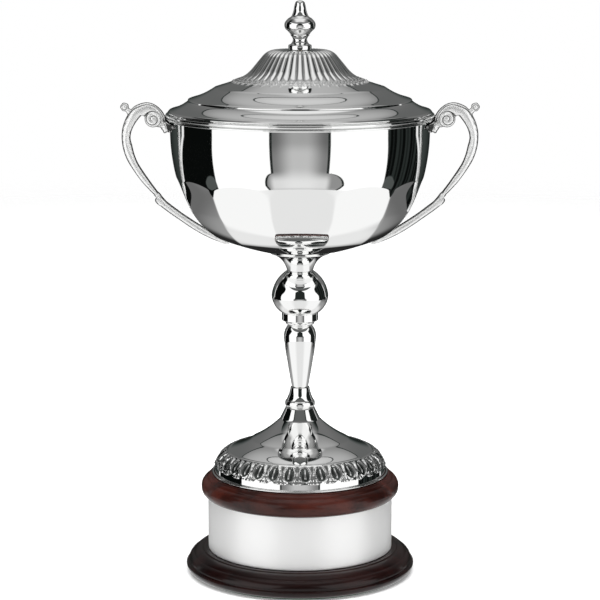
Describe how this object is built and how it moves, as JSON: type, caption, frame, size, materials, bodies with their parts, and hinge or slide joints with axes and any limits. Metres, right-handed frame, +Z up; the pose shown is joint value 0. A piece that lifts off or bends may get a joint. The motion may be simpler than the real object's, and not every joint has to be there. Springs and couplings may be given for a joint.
{
  "type": "cup trophy",
  "caption": "Lidded presentation cup: a round bowl with panelled lower sides and scroll handles, on a turned stem, domed foot and banded wooden plinth.",
  "frame": {"origin": "centre of the underside of the baize, on the surface the cup stands on", "axes": "+Z up the stem, X through the two handles, the front faces -Y and the band's seam is at +Y"},
  "size_m": [0.277, 0.2072, 0.45],
  "materials": {
    "polished_silver": "mirror-polished silver plate",
    "cast_silver": "cast silver plate, bright edges on a frosted ground",
    "band_silver": "satin-bright silver-plated band",
    "mahogany": "dark red mahogany, polished lacquer",
    "brass": "plain machined brass",
    "screw_steel": "bright zinc-plated steel",
    "baize": "green wool baize"
  },
  "bodies": {
    "root": {"bowl_shell": "polished_silver", "bowl_rim": "polished_silver", "bowl_washer": "polished_silver", "bowl_nut": "polished_silver", "stem_trumpet": "polished_silver", "stem_knop": "polished_silver", "stem_collar": "polished_silver", "stem_baluster": "polished_silver", "stem_cone": "polished_silver", "foot_shell": "polished_silver", "foot_wire": "polished_silver", "handle_left": "cast_silver", "handle_right": "cast_silver", "plinth_base": "mahogany", "plinth_drum": "mahogany", "plinth_cap": "mahogany", "plinth_band": "band_silver", "band_pin_left": "band_silver", "band_pin_right": "band_silver", "tie_rod": "brass", "foot_plate": "brass", "foot_nut": "brass", "plinth_nut": "brass", "plinth_washer": "brass", "base_screw_1": "screw_steel", "base_screw_2": "screw_steel", "base_screw_3": "screw_steel", "cap_screw_1": "screw_steel", "cap_screw_2": "screw_steel", "cap_screw_3": "screw_steel", "base_felt": "baize"},
    "lid": {"lid_shell": "polished_silver", "lid_bezel": "polished_silver", "finial": "polished_silver", "finial_stud": "brass", "finial_washer": "brass", "finial_nut": "brass"}
  },
  "joints": [
    {"name": "lid_lift", "type": "slide", "parent": "root", "child": "lid", "axis": [0, 0, 1], "range_m": [0, 0.15]}
  ]
}
